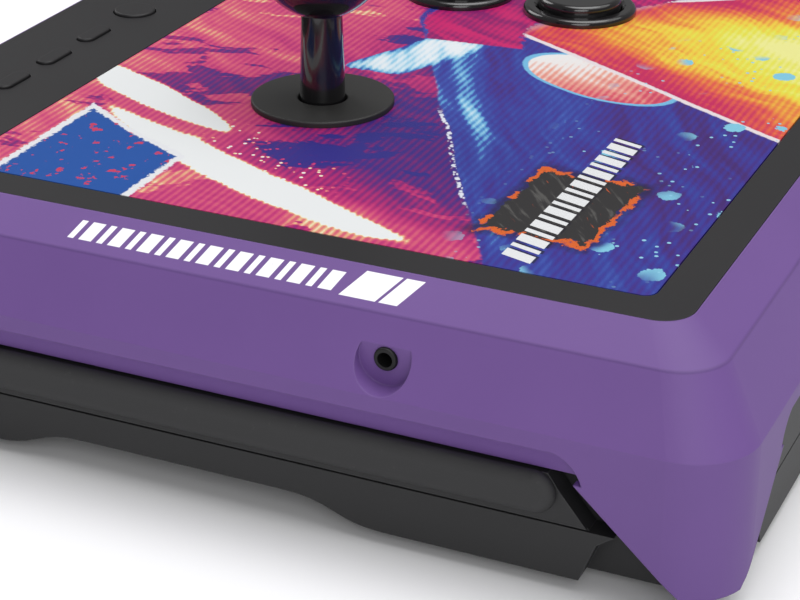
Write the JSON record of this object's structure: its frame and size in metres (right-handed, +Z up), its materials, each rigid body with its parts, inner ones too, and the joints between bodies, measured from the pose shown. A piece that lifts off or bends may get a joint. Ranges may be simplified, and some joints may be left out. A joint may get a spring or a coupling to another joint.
{
  "type": "arcade joystick panel",
  "caption": "Table-top arcade controller with hinged lid: ball-top lever, round push buttons and printed panel over a low base with side grip pads.",
  "frame": {"origin": "centre of the controller, on the table under its rubber feet", "axes": "+Z up; +X to the player's right; -Y towards the player"},
  "size_m": [0.403, 0.27, 0.121],
  "materials": {
    "purple_plastic": "satin moulded plastic, fine spark texture",
    "black_plastic": "satin black moulded plastic",
    "satin_black": "satin black moulded plastic",
    "gloss_black": "polished black plastic",
    "matte_black": "matte black nylon",
    "soft_rubber": "soft matte elastomer",
    "zinc_steel": "zinc plated steel",
    "black_steel": "black painted sheet steel",
    "bright_metal": "polished steel",
    "brass_metal": "plain brass",
    "printed_sheet": "printed polycarbonate sheet",
    "circuit_board": "green solder mask",
    "clear_light": "clear light guide"
  },
  "bodies": {
    "base": {"lower_shell": "black_plastic", "base_rim": "black_plastic", "side_blocks": "black_plastic", "front_block": "black_plastic", "grip_pads": "soft_rubber", "rubber_feet": "soft_rubber", "weight_plate": "zinc_steel", "base_screws": "zinc_steel", "hinge_pins": "zinc_steel", "latch_guide": "black_plastic"},
    "lid": {"top_cover": "purple_plastic", "top_frame": "satin_black", "frame_screws": "zinc_steel", "top_plate": "black_steel", "printed_panel": "printed_sheet", "hinge_arms": "zinc_steel", "latch_striker": "zinc_steel", "jack_socket": "gloss_black", "jack_board": "circuit_board", "usb_socket": "bright_metal", "function_board": "circuit_board", "function_switches": "gloss_black", "main_board": "circuit_board", "board_spacers": "brass_metal", "light_windows": "clear_light", "button_housings": "gloss_black", "button_nuts": "black_plastic", "button_switches": "black_plastic", "lever_plate": "zinc_steel", "lever_screws": "zinc_steel", "lever_housing": "black_plastic", "housing_screws": "zinc_steel", "lever_switches": "black_plastic", "restrictor_gate": "gloss_black"},
    "latch": {"latch_button": "black_plastic"},
    "ring": {"pivot_ring": "gloss_black"},
    "stick": {"lever_shaft": "bright_metal", "shaft_cover": "gloss_black", "ball_top": "gloss_black", "lever_spring": "bright_metal", "lever_actuator": "gloss_black", "shaft_clip": "zinc_steel"},
    "lower_washer": {"dust_slide": "matte_black"},
    "upper_washer": {"dust_washer": "matte_black"},
    "button_1": {"button_cap_1": "gloss_black"},
    "button_2": {"button_cap_2": "gloss_black"},
    "button_3": {"button_cap_3": "gloss_black"},
    "button_4": {"button_cap_4": "gloss_black"},
    "button_5": {"button_cap_5": "gloss_black"},
    "button_6": {"button_cap_6": "gloss_black"},
    "button_7": {"button_cap_7": "gloss_black"},
    "button_8": {"button_cap_8": "gloss_black"},
    "key_1": {"left_key_1": "satin_black"},
    "key_2": {"left_key_2": "satin_black"},
    "key_3": {"left_key_3": "satin_black"},
    "key_4": {"left_key_4": "satin_black"},
    "home": {"home_key": "satin_black"},
    "touch": {"touch_pad": "satin_black"},
    "lock": {"lock_slider": "satin_black"},
    "mode": {"mode_slider": "satin_black"}
  },
  "joints": [
    {"name": "lid_hinge", "type": "hinge", "parent": "base", "child": "lid", "pos_m": [0, 0.131, 0.008], "axis": [-1, 0, 0], "range_deg": [0, 80]},
    {"name": "latch_press", "type": "slide", "parent": "base", "child": "latch", "axis": [0, 1, 0], "range_m": [0, 0.0025], "stiffness_N_per_m": 300, "springref_m": -0.003},
    {"name": "lever_tilt_forward", "type": "hinge", "parent": "lid", "child": "ring", "pos_m": [-0.0951, 0.0127, 0.032], "axis": [1, 0, 0], "range_deg": [-8, 8], "stiffness_Nm_per_rad": 0.6},
    {"name": "lever_tilt_side", "type": "hinge", "parent": "ring", "child": "stick", "pos_m": [-0.0951, 0.0127, 0.032], "axis": [0, 1, 0], "range_deg": [-8, 8], "stiffness_Nm_per_rad": 0.6},
    {"name": "lower_washer_slide", "type": "slide", "parent": "lid", "child": "lower_washer", "axis": [1, 0, 0], "range_m": [-0.00434, 0.00434]},
    {"name": "upper_washer_slide", "type": "slide", "parent": "lower_washer", "child": "upper_washer", "axis": [0, 1, 0], "range_m": [-0.00434, 0.00434]},
    {"name": "button_press_1", "type": "slide", "parent": "lid", "child": "button_1", "axis": [0, 0, -1], "range_m": [0, 0.0026], "stiffness_N_per_m": 150, "springref_m": -0.002},
    {"name": "button_press_2", "type": "slide", "parent": "lid", "child": "button_2", "axis": [0, 0, -1], "range_m": [0, 0.0026], "stiffness_N_per_m": 150, "springref_m": -0.002},
    {"name": "button_press_3", "type": "slide", "parent": "lid", "child": "button_3", "axis": [0, 0, -1], "range_m": [0, 0.0026], "stiffness_N_per_m": 150, "springref_m": -0.002},
    {"name": "button_press_4", "type": "slide", "parent": "lid", "child": "button_4", "axis": [0, 0, -1], "range_m": [0, 0.0026], "stiffness_N_per_m": 150, "springref_m": -0.002},
    {"name": "button_press_5", "type": "slide", "parent": "lid", "child": "button_5", "axis": [0, 0, -1], "range_m": [0, 0.0026], "stiffness_N_per_m": 150, "springref_m": -0.002},
    {"name": "button_press_6", "type": "slide", "parent": "lid", "child": "button_6", "axis": [0, 0, -1], "range_m": [0, 0.0026], "stiffness_N_per_m": 150, "springref_m": -0.002},
    {"name": "button_press_7", "type": "slide", "parent": "lid", "child": "button_7", "axis": [0, 0, -1], "range_m": [0, 0.0026], "stiffness_N_per_m": 150, "springref_m": -0.002},
    {"name": "button_press_8", "type": "slide", "parent": "lid", "child": "button_8", "axis": [0, 0, -1], "range_m": [0, 0.0026], "stiffness_N_per_m": 150, "springref_m": -0.002},
    {"name": "key_press_1", "type": "slide", "parent": "lid", "child": "key_1", "axis": [0, 0, -1], "range_m": [0, 0.0008], "stiffness_N_per_m": 400, "springref_m": -0.001},
    {"name": "key_press_2", "type": "slide", "parent": "lid", "child": "key_2", "axis": [0, 0, -1], "range_m": [0, 0.0008], "stiffness_N_per_m": 400, "springref_m": -0.001},
    {"name": "key_press_3", "type": "slide", "parent": "lid", "child": "key_3", "axis": [0, 0, -1], "range_m": [0, 0.0008], "stiffness_N_per_m": 400, "springref_m": -0.001},
    {"name": "key_press_4", "type": "slide", "parent": "lid", "child": "key_4", "axis": [0, 0, -1], "range_m": [0, 0.0008], "stiffness_N_per_m": 400, "springref_m": -0.001},
    {"name": "home_press", "type": "slide", "parent": "lid", "child": "home", "axis": [0, 0, -1], "range_m": [0, 0.0008], "stiffness_N_per_m": 400, "springref_m": -0.001},
    {"name": "touch_press", "type": "slide", "parent": "lid", "child": "touch", "axis": [0, 0, -1], "range_m": [0, 0.0006], "stiffness_N_per_m": 400, "springref_m": -0.001},
    {"name": "lock_slide", "type": "slide", "parent": "lid", "child": "lock", "axis": [1, 0, 0], "range_m": [0, 0.005]},
    {"name": "mode_slide", "type": "slide", "parent": "lid", "child": "mode", "axis": [1, 0, 0], "range_m": [0, 0.005]}
  ],
  "couplings": [
    {"joint": "lower_washer_slide", "follows": "lever_tilt_side", "m_per_rad": 0.03105},
    {"joint": "upper_washer_slide", "follows": "lever_tilt_forward", "m_per_rad": -0.03105}
  ]
}
